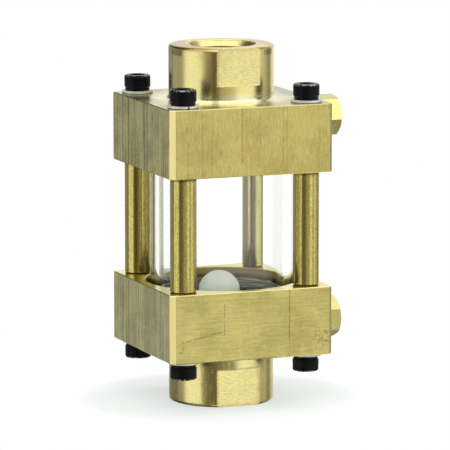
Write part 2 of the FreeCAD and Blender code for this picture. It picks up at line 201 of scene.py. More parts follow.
def metal(graph, colour, roughness, height, depth, metallic=1.0):
    inputs = {"Base Color": colour, "Metallic": metallic, "Roughness": roughness}
    surface(graph, inputs, height, depth)


# Brass

DRAWN = {"lower": (0.90, 0.785, 0.275), "upper": (0.83, 0.715, 0.235)}
DRAWN_DULL = {"lower": (0.56, 0.485, 0.165), "upper": (0.53, 0.45, 0.145)}
GREEN_GREY = {"lower": (1.0, 0.94, 0.47), "upper": (0.96, 0.87, 0.40)}
GREEN_GREY_DULL = {"lower": (0.52, 0.475, 0.21), "upper": (0.36, 0.325, 0.125)}
# Scale on the bar, also painted shade in the ports and painted dark reflections on the spigots
SCALE_BROWN_AND_SHADE = (0.17, 0.12, 0.035)
# Tarnish, also painted shade at the foot of the recess
TARNISH_AND_SHADE = (0.13, 0.105, 0.045)
MACHINED = (0.97, 0.865, 0.375)
MACHINED_DULL = (0.84, 0.725, 0.285)
# Painted highlight at the root of the upper spigot
ROOT_HIGHLIGHT = (1.0, 0.95, 0.62)
RECESS = (0.95, 0.79, 0.27)
FILM = (0.50, 0.475, 0.30)
# Brown tarnish and painted shade on the spigots' rims
END_BROWN_AND_SHADE = {"lower": (0.22, 0.16, 0.05), "upper": (0.47, 0.33, 0.07)}
RED_STAIN = (0.62, 0.42, 0.13)
# Painted dark reflections on the pillars
OLIVE_DARK_REFLECTION = (0.17, 0.13, 0.01)
PILLAR_BRASS = (0.72, 0.63, 0.225)
PILLAR_DULL = (0.42, 0.34, 0.085)
# Painted shadow at the pillars' ends
JOINT_SHADOW = (0.05, 0.03, 0.01)
HEXAGON_BRASS = (0.80, 0.735, 0.27)
HEXAGON_DULL = (0.64, 0.575, 0.20)


class BlockPoint:
    """The shaded point of a block, and what its finishes need of it."""

    def __init__(self, g):
        self.place = g.place()
        self.x, self.y, self.z = g.split(self.place)
        self.from_middle = g.distance(self.z, MIDDLE)
        self.radius = g.from_axis(self.x, self.y)
        self.outer_face = g.inside(self.from_middle, OUTER_FACE - 0.1, OUTER_FACE + 0.1, 0.05)
        chamfer = 2 * BLOCK_HALF - CORNER_CHAMFER
        self.corner = g.step(g.sum(g.size(self.x), g.size(self.y)), chamfer - 0.4, chamfer - 0.1)
        self.patches = g.noise(self.place, 0.07, 3.0, 0.6)


def block_material(name, half):
    """Drawn bar on the four sides, and turned and milled metal everywhere else."""
    material, g = new_graph(name)
    at = BlockPoint(g)
    bar_colour, bar_roughness, bar_height = drawn_bar(g, at, half)
    cut_colour, cut_roughness, cut_height = machined_brass(g, at, half)
    side = g.math("GREATER_THAN", g.greatest(g.size(at.x), g.size(at.y)), BLOCK_HALF - 0.1)
    colour = g.mix(side, cut_colour, bar_colour)
    roughness = g.between(side, cut_roughness, bar_roughness)
    calm = g.greatest(g.product(at.corner, 0.85), g.product(at.outer_face, 0.7))
    height = g.between(side, cut_height, bar_height)
    height = g.product(height, g.math("SUBTRACT", 1.0, calm))
    metal(g, colour, roughness, height, 0.016)
    return material


def drawn_bar(g, at, half):
    """Colour, roughness and relief of the bar's sides, which differ at the front and the ends."""
    on_front = g.math("LESS_THAN", at.y, 0.1 - BLOCK_HALF)
    on_left = g.math("LESS_THAN", at.x, 0.1 - BLOCK_HALF)
    on_right = g.math("GREATER_THAN", at.x, BLOCK_HALF - 0.1)
    speckle = g.noise(at.place, 2.6, 3.0, 0.75)
    short_grain = g.noise(at.place, 1.05, 4.0, 0.7, along=(1.0, 1.0, 0.14))
    long_grain = g.noise(at.place, 0.6, 4.0, 0.7, along=(1.0, 1.0, 0.02))
    fine_grain = g.noise(at.place, 1.6, 4.0, 0.75, along=(1.0, 1.0, 0.018))

    # The lower front is brushed level, the upper one keeps the bar's grain along Z
    if half == "lower":
        brushed = g.noise(at.place, 2.6, 4.0, 0.75, along=(0.10, 1.0, 1.0))
        front_grain = g.noise(at.place, 1.4, 4.0, 0.75, along=(0.05, 1.0, 1.0))
    else:
        brushed = g.noise(at.place, 2.4, 3.0, 0.7, along=(1.0, 1.0, 0.12))
        front_grain = short_grain
    front_dull = g.sum(
        g.step(brushed, 0.36, 0.64, 0.03, 0.39),
        g.step(speckle, 0.36, 0.64, 0.02, 0.34),
        g.step(front_grain, 0.44, 0.64, -0.02, 0.18),
        g.step(at.patches, 0.35, 0.65, -0.16, 0.26),
    )
    front = g.mix(front_dull, DRAWN[half], DRAWN_DULL[half])
    end_dull = g.sum(
        g.step(fine_grain, 0.34, 0.66, -0.22, 0.58),
        g.step(long_grain, 0.36, 0.66, -0.17, 0.36),
        g.step(speckle, 0.36, 0.64, -0.30, 0.52),
        g.step(at.patches, 0.35, 0.65, -0.20, 0.24),
    )
    end = g.mix(end_dull, GREEN_GREY[half], GREEN_GREY_DULL[half])
    end_share = g.sum(on_left, g.product(on_right, 0.35))
    colour = g.mix(end_share, front, end)

    streaks = g.product(scale_lines(g, at, half, short_grain), end_share)
    colour = g.mix(g.product(streaks, 0.85), colour, SCALE_BROWN_AND_SHADE)
    marks = g.product(front_marks(g, at, half), on_front)
    colour = g.mix(g.product(marks, 0.6), colour, TARNISH_AND_SHADE)
    stained = g.product(front_stain(g, at, half), on_front)
    colour = g.mix(stained, colour, RED_STAIN)

    roughness = g.sum(0.30, g.product(speckle, 0.12))
    height = g.sum(g.between(on_front, short_grain, front_grain), g.product(speckle, 0.45))
    return colour, roughness, height


def scale_lines(g, at, half, grain):
    """Dark lines along Z where scale stayed on the bar, as 0 to 1."""
    ragged = g.noise(at.place, 1.2, 4.0, 0.75, along=(1.0, 1.0, 0.05))
    along = g.sum(at.y, g.math("SUBTRACT", ragged, 0.5))
    places = {
        "lower": ((20.6, 0.6), (14.0, 0.5), (-5.1, 0.55), (3.2, 0.35), (-14.6, 0.4), (-21.0, 0.4)),
        "upper": ((13.4, 0.65), (-3.75, 0.7), (-6.8, 0.4), (-12.2, 0.4), (20.0, 0.35), (28.0, 0.4)),
    }[half]
    lines = g.greatest(*(g.line(along, where, width) for where, width in places))
    stray = g.noise(at.place, 1.0, 4.0, 0.75, along=(1.0, 1.0, 0.012))
    stray = g.step(stray, 0.58, 0.70, 0.0, 0.45)
    broken = g.step(grain, 0.36, 0.56, 0.15, 1.0)
    return g.product(g.greatest(g.product(lines, 0.85), stray), broken)


def front_marks(g, at, half):
    """Scribed lines and scratches on the front face, as 0 to 1."""
    jitter = g.noise(g.join(at.x, 0.0, at.z), 1.3, 3.0, 0.7)
    jitter = g.math("SUBTRACT", jitter, 0.5)
    gaps = g.step(g.noise(g.join(at.x, 5.0, at.z), 0.9, 3.0, 0.7), 0.36, 0.54)
    along = g.sum(at.x, g.product(jitter, 0.5))
    # Each line's x, half width, lower and upper end, and share
    lines = {
        "lower": ((15.0, 0.28, 20.0, 47.0, 1.0), (-11.2, 0.25, 31.5, 41.5, 0.9)),
        "upper": (
            (-25.7, 0.30, 90.0, 104.0, 0.60), (-19.9, 0.35, 90.0, 117.0, 0.45),
            (-16.4, 0.25, 91.5, 103.5, 0.55), (-4.1, 0.60, 96.0, 117.0, 0.38),
            (-2.6, 0.30, 90.0, 112.0, 0.30), (3.1, 0.25, 98.0, 117.0, 0.38),
            (12.4, 0.30, 90.0, 117.0, 0.42), (13.8, 0.30, 92.0, 117.0, 0.48),
            (27.0, 0.25, 90.0, 110.0, 0.18),
        ),
    }[half]
    found = [
        g.product(g.line(along, where, width), g.inside(at.z, low, high, 2.0), share)
        for where, width, low, high, share in lines
    ]
    marks = g.product(g.greatest(*found), gaps)
    if half == "upper":
        return marks

    # A long scratch that climbs towards the short line, and small ones by the edges
    climb = g.math("MULTIPLY_ADD", g.sum(at.x, 26.0), 0.2, 29.0)
    scratch = g.line(g.sum(at.z, g.product(jitter, 1.4)), climb, 0.24)
    scratch = g.product(scratch, g.inside(at.x, -26.0, -12.5, 0.8), g.step(gaps, 0.1, 0.7))
    nicks = g.step(g.noise(g.join(at.x, 9.0, at.z), 1.5, 3.0, 0.75), 0.53, 0.60)
    left_nicks = g.patch(at.x, (-29.6, -27.6, 0.5), at.z, (24.5, 28.5, 0.8))
    right_nicks = g.patch(at.x, (25.5, 31.3, 0.6), at.z, (23.5, 30.0, 0.8))
    nicks = g.product(nicks, g.greatest(left_nicks, right_nicks))
    return g.greatest(marks, scratch, nicks)


def front_stain(g, at, half):
    """A faint reddish stain on the front face, as 0 to 1."""
    cloud = g.step(g.noise(at.place, 0.35, 3.0, 0.6), 0.40, 0.66)
    x_range, z_range = {
        "lower": ((16.5, 24.0, 3.0), (23.0, 35.0, 3.0)),
        "upper": ((-3.0, 1.0, 3.0), (96.0, 101.0, 3.0)),
    }[half]
    return g.product(g.patch(at.x, x_range, at.z, z_range), cloud, 0.45)


def machined_brass(g, at, half):
    """Colour, roughness and relief of the turned and milled surfaces."""
    turning = g.noise(at.place, 3.0, 3.0, 0.6, along=(0.04, 0.04, 1.0))
    spots = g.noise(at.place, 2.1, 4.0, 0.7)
    scrapes = g.noise(at.place, 1.5, 4.0, 0.75, along=(0.3, 0.3, 1.6))
    on_flat = g.inside(g.size(at.y), FLAT_FROM_AXIS - 0.1, FLAT_FROM_AXIS + 0.1, 0.05)
    worn = g.sum(
        g.step(spots, 0.42, 0.68, 0.0, 0.45),
        g.step(at.patches, 0.45, 0.7, 0.0, 0.3),
        g.product(g.step(scrapes, 0.38, 0.62, -0.25, 0.50), g.between(on_flat, 0.25, 1.0)),
    )
    worn = g.product(worn, g.between(at.corner, 1.0, 0.15))
    colour = g.mix(worn, MACHINED, MACHINED_DULL)

    colour = tinted_outer_face(g, at, half, colour)
    # Brown tarnish and painted shade on the rims
    colour = g.mix(rim_tarnish_and_shade(g, at, half, spots), colour, END_BROWN_AND_SHADE[half])
    outside = g.product(
        g.inside(at.from_middle, OUTER_FACE + 0.6, MIDDLE - 1.4, 0.5),
        g.step(at.radius, SPIGOT_RADIUS - 4.5, SPIGOT_RADIUS - 3.5),
    )
    # Brown streaks and painted dark reflections down the spigots
    colour = g.mix(g.product(spigot_stains_and_shade(g, at, half), outside), colour, SCALE_BROWN_AND_SHADE)

    # Inside the ports the threads are darkened brown: painted shade in the bore
    port_shade = g.product(
        g.inside(at.radius, 0.0, PORT_RADIUS, 0.1),
        g.step(at.from_middle, MIDDLE - 3.5, MIDDLE - 3.0, 1.0, 0.0),
        g.step(at.from_middle, OUTER_FACE + 0.2, OUTER_FACE + 0.7),
    )
    colour = g.mix(g.product(port_shade, 0.75), colour, SCALE_BROWN_AND_SHADE)

    # The turned recess round the glass scatters more than the rest, and has painted shade at its
    # foot, reaching higher on the left
    recess = g.product(
        g.math("LESS_THAN", at.from_middle, RECESS_FLOOR + 0.05),
        g.math("LESS_THAN", at.radius, RECESS_RADIUS + 0.4),
    )
    colour = g.mix(recess, colour, RECESS)
    below_face = g.math("GREATER_THAN", at.from_middle, PILLAR_HALF + 0.1)
    # Painted shade at the foot of the recess wall, reaching higher on the left
    lift = g.step(at.x, -24.0, -16.0, 1.6, 0.0)
    foot = g.step(g.sum(at.from_middle, lift), RECESS_FLOOR - 4.2, RECESS_FLOOR - 2.6)
    colour = g.mix(g.product(foot, recess, below_face, 0.94), colour, TARNISH_AND_SHADE)

    roughness = g.between(recess, g.sum(0.24, g.product(worn, 0.12)), 0.52)
    height = g.sum(g.product(turning, 0.30), g.product(spots, 0.06))
    return colour, roughness, height


def tinted_outer_face(g, at, half, colour):
    """A grey film and a stain on the blocks' outer faces, and a painted highlight at the root of
    the upper spigot.
    """
    film = g.product(
        at.outer_face,
        g.step(at.patches, 0.30, 0.60, 0.35, 1.0),
        g.step(at.radius, SPIGOT_RADIUS + 2.0, SPIGOT_RADIUS + 14.0, 0.25, 1.0),
    )
    film = g.sum(film, g.product(at.outer_face, g.step(at.x, 16.0, 27.0, 0.0, 0.35)))
    if half == "upper":
        # Painted highlight on the fillet round the upper spigot's root
        root = g.patch(
            at.from_middle, (OUTER_FACE - 0.1, OUTER_FACE + 2.2, 1.5),
            at.radius, (SPIGOT_RADIUS - 2.0, SPIGOT_RADIUS + 4.0, 4.0),
        )
        colour = g.mix(g.product(root, 0.9), colour, ROOT_HIGHLIGHT)
    colour = g.mix(g.math("MINIMUM", film, 1.0), colour, FILM)
    edge = g.product(g.step(at.x, -24.0, -29.5), g.inside(at.y, 2.0, 13.0, 6.0))
    blotch = g.step(g.noise(at.place, 0.45, 4.0, 0.7), 0.40, 0.66, 0.0, 0.85)
    return g.mix(g.product(at.outer_face, edge, blotch), colour, TARNISH_AND_SHADE)


def rim_tarnish_and_shade(g, at, half, spots):
    """Brown tarnish on the rims and end faces of the spigots, with painted shade darker towards
    their left and right sides, as 0 to 1.
    """
    # Painted shade: darker towards the left and right sides of each rim
    sides = g.greatest(g.step(at.x, -13.0, -6.0, 1.0, 0.3), g.step(at.x, 10.0, 16.0, 0.0, 0.75))
    if half == "lower":
        behind_flat = g.step(at.y, -FLAT_FROM_AXIS, 0.3 - FLAT_FROM_AXIS, 0.4, 1.0)
        sides = g.product(g.greatest(sides, 0.75), behind_flat)
    return g.product(
        g.step(at.from_middle, MIDDLE - 1.7, MIDDLE - 0.5),
        g.step(at.radius, PORT_RADIUS + 0.2, PORT_RADIUS + 0.7),
        g.step(spots, 0.35, 0.65, 0.55, 1.0),
        sides,
    )


def dark_band(g, turn, where, reach, share):
    """A band along Z round a direction in degrees, with soft edges, as 0 to share."""
    return g.product(g.inside(turn, where - reach, where + reach, 5.0), share)


def spigot_stains_and_shade(g, at, half):
    """Brown streaks and painted dark reflections down the turned side of a spigot, as 0 to 1."""
    turn = g.turn_degrees(at.x, at.y)
    # Each band's direction, reach to both sides, and share
    bands = {
        "lower": ((-88.0, 9.0, 0.62), (-34.0, 7.0, 0.64), (29.0, 3.0, 0.40), (50.0, 12.0, 0.42)),
        "upper": (
            (-104.0, 8.0, 0.60), (-93.0, 5.0, 0.42), (-27.5, 1.3, 0.60),
            (39.5, 3.0, 0.24), (57.0, 9.0, 0.16),
        ),
    }[half]
    found = [dark_band(g, turn, *band) for band in bands]
    if half == "upper":
        # Painted shade close under the rim, in two directions
        under_rim_shade_turns = g.greatest(g.inside(turn, -94.0, -70.0, 4.0), g.inside(turn, 35.0, 50.0, 4.0))
        under_rim = g.inside(at.from_middle, MIDDLE - 2.9, MIDDLE - 1.3, 0.9)
        found.append(g.product(under_rim_shade_turns, under_rim, 0.75))
    else:
        # Painted shade on the neck between flat and block, and a painted shadow line along the
        # flat's end
        neck = g.step(at.from_middle, FLAT_END - 0.8, FLAT_END - 0.4, 1.0, 0.0)
        line = g.inside(at.from_middle, FLAT_END - 0.7, FLAT_END - 0.2, 0.3)
        found += [
            g.product(g.inside(turn, -40.0, -10.0, 12.0), neck, 0.60),
            g.product(g.inside(turn, -24.0, 24.0, 3.0), line, 0.45),
        ]
    streak = g.noise(at.place, 1.6, 4.0, 0.75, along=(1.0, 1.0, 0.12))
    return g.product(g.greatest(*found), g.step(streak, 0.34, 0.60, 0.45, 1.0))


def pillar_material():
    """Turned brass, mottled, with painted dark reflections down its sides, a painted shadow line
    where each end meets its block, and painted shade under the upper block.
    """
    material, g = new_graph("turned_pillar_brass")
    place = g.place()
    x, y, z = g.split(place)
    streak = g.noise(place, 1.7, 3.0, 0.65, along=(1.0, 1.0, 0.05))
    mottle = g.noise(place, 1.9, 4.0, 0.75, along=(1.0, 1.0, 0.8))
    worn = g.sum(g.step(streak, 0.40, 0.70, 0.0, 0.4), g.step(mottle, 0.40, 0.66, 0.0, 0.7))
    colour = g.mix(worn, PILLAR_BRASS, PILLAR_DULL)
    # Painted dark reflections down the pillars
    colour = g.mix(pillar_dark_reflections(g, x, y, mottle), colour, OLIVE_DARK_REFLECTION)
    # Painted shadow line at each end, where the pillar meets its block
    end = g.step(g.distance(z, MIDDLE), PILLAR_HALF - 0.55, PILLAR_HALF - 0.25)
    colour = g.mix(g.product(end, 0.85), colour, JOINT_SHADOW)
    # Painted shade under the upper block, at the pillar's top
    upper_end = MIDDLE + PILLAR_HALF
    shade = g.step(z, upper_end - 1.9, upper_end - 0.6, 0.0, 0.75)
    colour = g.mix(shade, colour, JOINT_SHADOW)
    roughness = g.sum(0.10, g.product(worn, 0.12))
    height = g.sum(g.product(streak, 0.4), mottle)
    metal(g, colour, roughness, height, 0.018)
    return material


def pillar_dark_reflections(g, x, y, mottle):
    """Painted dark reflections down the pillars, as 0 to 1, by degrees round each pillar's own
    axis.
    """
    right = g.math("GREATER_THAN", x, 0.0)
    back = g.math("GREATER_THAN", y, 0.0)
    left = g.math("SUBTRACT", 1.0, right)
    front = g.math("SUBTRACT", 1.0, back)
    across = g.math("SUBTRACT", x, g.between(right, -PILLAR_OFFSET, PILLAR_OFFSET))
    along = g.math("SUBTRACT", y, g.between(back, -PILLAR_OFFSET, PILLAR_OFFSET))
    turn = g.turn_degrees(across, along)
    back_left = g.product(left, back)
    back_right = g.product(right, back)
    front_right = g.product(right, front)
    # Each band's direction, reach to both sides, share, and pillar
    bands = (
        (-16.0, 15.0, 0.62, back_left), (24.0, 18.0, 0.60, back_left),
        (-57.0, 9.0, 0.50, front_right), (10.5, 2.5, 0.50, front),
        (-26.0, 12.0, 0.75, back_right), (-68.0, 9.0, 0.45, back_right),
    )
    found = [
        g.product(dark_band(g, turn, where, reach, share), pillar)
        for where, reach, share, pillar in bands
    ]
    return g.product(g.greatest(*found), g.step(mottle, 0.30, 0.60, 0.6, 1.0))


def hexagon_material():
    material, g = new_graph("hexagon_bar_brass")
    place = g.place()
    grain = g.noise(place, 2.5, 3.0, 0.6, along=(0.08, 1.0, 1.0))
    spots = g.noise(place, 0.8, 3.0, 0.6)
    colour = g.mix(g.step(spots, 0.45, 0.75), HEXAGON_BRASS, HEXAGON_DULL)
    metal(g, colour, g.sum(0.2, g.product(grain, 0.1)), grain, 0.006)
    return material


# Steel, copper, gasket sheet, plastic and glass

BLACK_OXIDE = ((0.002, 0.0025, 0.004), (0.006, 0.007, 0.010))
BARE_STEEL = (0.34, 0.35, 0.38)
SPRING_STEEL = ((0.98, 0.975, 0.94), (0.84, 0.83, 0.79))
WASHER_SHADE = (0.04, 0.035, 0.03)
COPPER = ((0.80, 0.46, 0.32), (0.50, 0.25, 0.16))
GASKET = ((0.018, 0.021, 0.036), (0.105, 0.11, 0.135))
PLASTIC = ((0.83, 0.94, 0.77), (0.92, 0.99, 0.86))
GLASS = (0.975, 0.99, 0.98)
GLASS_SHADOW = (0.93, 0.95, 0.94)


def black_steel_material():
    """Black oxide, rubbed to bare steel here and there on the rim of the heads."""
    material, g = new_graph("black_oxide_steel")
    place = g.place()
    x, y, z = g.split(place)
    across = g.math("SUBTRACT", g.size(x), PILLAR_OFFSET)
    along = g.math("SUBTRACT", g.size(y), PILLAR_OFFSET)
    grain = g.noise(place, 2.5, 4.0, 0.6)
    rubbed = g.noise(place, 0.8, 4.0, 0.7)
    wear = g.product(
        g.step(g.from_axis(across, along), HEAD_RADIUS - 0.8, HEAD_RADIUS - 0.45),
        g.step(g.distance(z, MIDDLE), HEAD_TOP - 0.75, HEAD_TOP - 0.3),
        g.step(rubbed, 0.46, 0.54),
    )
    surface(g, {
        "Base Color": g.mix(wear, g.mix(grain, *BLACK_OXIDE), BARE_STEEL),
        "Metallic": wear,
        "Specular IOR Level": 0.12,
        "Roughness": g.sum(0.16, g.product(grain, 0.16)),
    }, grain, 0.012)
    return material


def washer_material():
    """Bright steel, with a painted shadow line where the washer lies on the block."""
    material, g = new_graph("bright_spring_steel")
    place = g.place()
    z = g.split(place)[2]
    grain = g.noise(place, 1.8, 3.0, 0.6)
    level = g.math("SUBTRACT", g.distance(z, MIDDLE), OUTER_FACE)
    colour = g.mix(g.step(level, 0.12, 0.32, 0.9, 0.0), g.mix(grain, *SPRING_STEEL), WASHER_SHADE)
    metal(g, colour, g.sum(0.38, g.product(grain, 0.15)), grain, 0.006, metallic=0.5)
    return material


def copper_material():
    material, g = new_graph("annealed_copper")
    grain = g.noise(g.place(), 1.2, 3.0, 0.6)
    metal(g, g.mix(grain, *COPPER), g.sum(0.3, g.product(grain, 0.2)), grain, 0.006)
    return material


def gasket_material():
    material, g = new_graph("gasket_sheet")
    place = g.place()
    grain = g.noise(place, 1.5, 4.0, 0.6)
    smear = g.noise(place, 0.35, 3.0, 0.6, along=(0.35, 1.0, 1.0))
    surface(g, {
        "Base Color": g.mix(g.step(smear, 0.42, 0.62), *GASKET),
        "Roughness": g.step(smear, 0.4, 0.65, 0.60, 0.35),
        "Specular IOR Level": 0.35,
    }, grain, 0.02)
    return material


def ball_material():
    material, g = new_graph("translucent_plastic")
    place = g.place()
    cloud = g.noise(place, 0.12, 3.0, 0.6)
    grain = g.noise(place, 1.2, 3.0, 0.6)
    surface(g, {
        "Base Color": g.mix(cloud, *PLASTIC),
        "Roughness": g.sum(0.3, g.product(grain, 0.1)),
        "Subsurface Weight": 0.6,
        "Subsurface Radius": (1.0, 1.1, 0.9),
        "Subsurface Scale": 3.0 * MM,
    }, grain, 0.01)
    return material


def glass_material():
    """Clear glass that lets the lamps through to what is inside it."""
    material, g = new_graph("borosilicate_tube")
    glass = g.add("ShaderNodeBsdfPrincipled", {
        "Base Color": GLASS, "Roughness": 0.0, "IOR": 1.47, "Transmission Weight": 1.0,
    })
    clear = g.add("ShaderNodeBsdfTransparent", {"Color": GLASS_SHADOW})
    path = g.add("ShaderNodeLightPath")
    g.output(g.add("ShaderNodeMixShader", {
        0: path.outputs["Is Shadow Ray"], 1: glass.outputs[0], 2: clear.outputs[0],
    }))
    return material


def paint(node_name, material):
    """Give a CAD node a material in place of its plain one."""
    for slot in nodes[node_name].material_slots:
        slot.material = material


block_brass = {half: block_material(f"{half}_block_brass", half) for half in ("lower", "upper")}
pillar_brass = pillar_material()
hexagon_brass = hexagon_material()
black_steel = black_steel_material()
bright_steel = washer_material()
copper = copper_material()
gasket_sheet = gasket_material()
for half in ("lower", "upper"):
    paint(f"{half}_block", block_brass[half])
    paint(f"{half}_stop_screw", hexagon_brass)
    paint(f"{half}_spring_washers", bright_steel)
    paint(f"{half}_stop_seal", copper)
    paint(f"{half}_gasket", gasket_sheet)
for corner in ("front_left", "front_right", "back_left", "back_right"):
    paint(f"pillar_{corner}", pillar_brass)
paint("sight_glass", glass_material())
paint("flow_ball", ball_material())


# Pieces

SHARP_ANGLE = math.radians(32.0)


def new_piece(name, points, faces, material):
    """A smooth-shaded mesh from points in millimetres, riding on the housing."""
    mesh = bpy.data.meshes.new(name)
    mesh.from_pydata([Vector(point) * MM for point in points], [], faces)
    mesh.validate()
    mesh.update()
    piece = bpy.data.objects.new(name, mesh)
    bpy.context.scene.collection.objects.link(piece)
    mesh.materials.append(material)
    mesh.set_sharp_from_angle(angle=SHARP_ANGLE)
    for polygon in mesh.polygons:
        polygon.use_smooth = True
    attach(piece, "housing")
    return piece


def ring(count, radius_at, z):
    """count points round the axis, at a radius that may depend on the angle."""
    points = []
    for step in range(count):
        angle = step / count * math.tau
        radius = radius_at(angle)
        points.append((radius * math.cos(angle), radius * math.sin(angle), z))
    return points


def wrapped(rings, count, closed=False):
    """Points and faces of rings of count points each, joined in turn."""
    points = [point for ring_points in rings for point in ring_points]
    faces = []
    pairs = len(rings) if closed else len(rings) - 1
    for number in range(pairs):
        here = number * count
        there = (number + 1) % len(rings) * count
        for step in range(count):
            after = (step + 1) % count
            faces.append((here + step, here + after, there + after, there + step))
    return points, faces


def turned_over(point):
    """A point of the lower half as it stands in the upper one."""
    x, y, z = point
    return (x, -y, OVERALL_HEIGHT - z)


# Pipe threads in the ports, with heights from the mouth

PITCH = 1.814
THREAD_TURN_STEPS = 120
THREAD_ROWS_PER_PITCH = 14
MAJOR_RADIUS = 13.22
MINOR_RADIUS = 12.06
MOUTH_RADIUS = 13.45
CONE_SLOPE = 0.62
THREAD_FROM = 0.25
WALL_TO = 3.0
THREAD_TO = 16.7
THREAD_BACK = 13.26  # radius of the side that lies in the wall
CREST_SHARE = 0.12  # of a tooth, cut flat at its top and at its root
INSIDE_MAJOR = 0.005  # what the thread stays inside its major radius
ROUNDED_SHARE = 0.35
FIRST_CUT = 0.6  # height over which the thread begins


def clamped(value):
    return min(1.0, max(0.0, value))


def thread_radius(turn, height):
    """Inner radius of a right-hand pipe thread, chamfered at the mouth and run out."""
    phase = (height / PITCH - turn) % 1.0
    tooth = abs(phase - 0.5) * 2.0
    flank = clamped((tooth - CREST_SHARE) / (1.0 - 2.0 * CREST_SHARE))
    rounded = flank * flank * (3.0 - 2.0 * flank)
    tooth_height = ROUNDED_SHARE * rounded + (1.0 - ROUNDED_SHARE) * flank
    cut = clamped((height - WALL_TO) / FIRST_CUT)
    tooth_height = 1.0 - cut * (1.0 - tooth_height)
    fade = clamped((THREAD_TO - height) / PITCH)
    radius = MAJOR_RADIUS - (MAJOR_RADIUS - MINOR_RADIUS) * tooth_height * fade
    radius = max(radius, MOUTH_RADIUS - height * CONE_SLOPE)
    return min(radius, MAJOR_RADIUS - INSIDE_MAJOR)


def port_thread(name, half):
    rows = round((THREAD_TO - THREAD_FROM) / PITCH * THREAD_ROWS_PER_PITCH)
    heights = [THREAD_FROM + (THREAD_TO - THREAD_FROM) * row / rows for row in range(rows + 1)]
    rings = [
        ring(THREAD_TURN_STEPS, lambda angle: thread_radius(angle / math.tau, height), height)
        for height in heights
    ]
    for height in (THREAD_TO, THREAD_FROM):
        rings.append(ring(THREAD_TURN_STEPS, lambda angle: THREAD_BACK, height))
    points, faces = wrapped(rings, THREAD_TURN_STEPS, closed=True)
    faces = [face[::-1] for face in faces]
    if half == "upper":
        points = [turned_over(point) for point in points]
    new_piece(name, points, faces, block_brass[half])


port_thread("inlet_thread", "lower")
port_thread("outlet_thread", "upper")


# Socket head cap screws with knurled heads, drawn head down with the seat at 0

SCREW_STEPS = 144
KNURLS = 36
KNURL_DEPTH = 0.10
CLOSED_RADIUS = 0.3  # of the flats that close both ends
SCREW_SEAT = SPIGOT_LENGTH - WASHER_THICKNESS
# Around each block, with the turn of each screw in degrees
SCREW_CORNERS = ((-1, -1), (1, -1), (1, 1), (-1, 1))
SCREW_TURNS = {"lower": (14.0, 41.0, 3.0, 27.0), "upper": (8.0, 35.0, 20.0, 52.0)}


def socket_radius(angle):
    """Distance from the axis to the hexagonal socket's side, with two corners on the Y axis."""
    sector = (angle + math.pi / 6.0) % (math.pi / 3.0) - math.pi / 6.0
    return SOCKET_ACROSS / 2.0 / math.cos(sector)


def knurled_radius(angle, share):
    wave = 0.5 - 0.5 * math.cos(angle * KNURLS)
    return HEAD_RADIUS - 0.01 - KNURL_DEPTH * share * wave


def screw_rings():
    """Rings from the bottom of the socket, over the head and down the shank to the tip."""
    top = -HEAD_HEIGHT
    socket_floor = top + SOCKET_DEPTH
    # The drilled point, floor, sides and chamfered mouth of the socket
    socket = [
        (lambda angle: CLOSED_RADIUS, socket_floor + 0.79),
        (lambda angle: 2.45, socket_floor),
        (socket_radius, socket_floor),
        (socket_radius, top + 0.28),
        (lambda angle: max(2.85, socket_radius(angle)), top),
    ]
    # Radius or depth of the knurls, and height
    edge = ((4.0, top), (4.35, top), (4.62, top + 0.08), (4.84, top + 0.27))
    grip = ((0.5, top + 0.55), (1.0, top + 0.8), (1.0, -1.75), (0.5, -1.6))
    below = (
        (4.65, -1.25), (4.65, 0.0), (SHANK_RADIUS, 0.0), (SHANK_RADIUS, SHANK_LENGTH - 0.8),
        (SHANK_RADIUS - 0.8, SHANK_LENGTH), (CLOSED_RADIUS, SHANK_LENGTH),
    )
    rings = [ring(SCREW_STEPS, radius_at, z) for radius_at, z in socket]
    rings += [ring(SCREW_STEPS, lambda angle: radius, z) for radius, z in edge]
    rings += [ring(SCREW_STEPS, lambda angle: knurled_radius(angle, share), z) for share, z in grip]
    rings += [ring(SCREW_STEPS, lambda angle: radius, z) for radius, z in below]
    return rings


def cap_screws(name, half):
    """The four screws of one half, standing for the plain ones."""
    one_points, one_faces = wrapped(screw_rings(), SCREW_STEPS)
    one_faces.append(tuple(reversed(range(SCREW_STEPS))))
    one_faces.append(tuple(range(len(one_points) - SCREW_STEPS, len(one_points))))
    points, faces = [], []
    for (x_side, y_side), turn in zip(SCREW_CORNERS, SCREW_TURNS[half]):
        spin = Matrix.Rotation(math.radians(turn), 4, "Z")
        across, along = x_side * PILLAR_OFFSET, y_side * PILLAR_OFFSET
        faces += [tuple(len(points) + corner for corner in face) for face in one_faces]
        for point in one_points:
            x, y, z = spin @ Vector(point)
            points.append((x + across, y + along, z + SCREW_SEAT))
    if half == "upper":
        points = [turned_over(point) for point in points]
    piece = new_piece(name, points, faces, black_steel)
    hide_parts(f"{half}_cap_screws")


cap_screws("lower_socket_screws", "lower")
cap_screws("upper_socket_screws", "upper")


# Camera at the photograph's viewing angle

CAMERA_YAW = math.radians(21.22)
CAMERA_PITCH = math.radians(8.79)
CAMERA_DISTANCE = 1678.0
CAMERA_SHIFT_RIGHT = 1.46
CAMERA_SHIFT_DOWN = 1.27


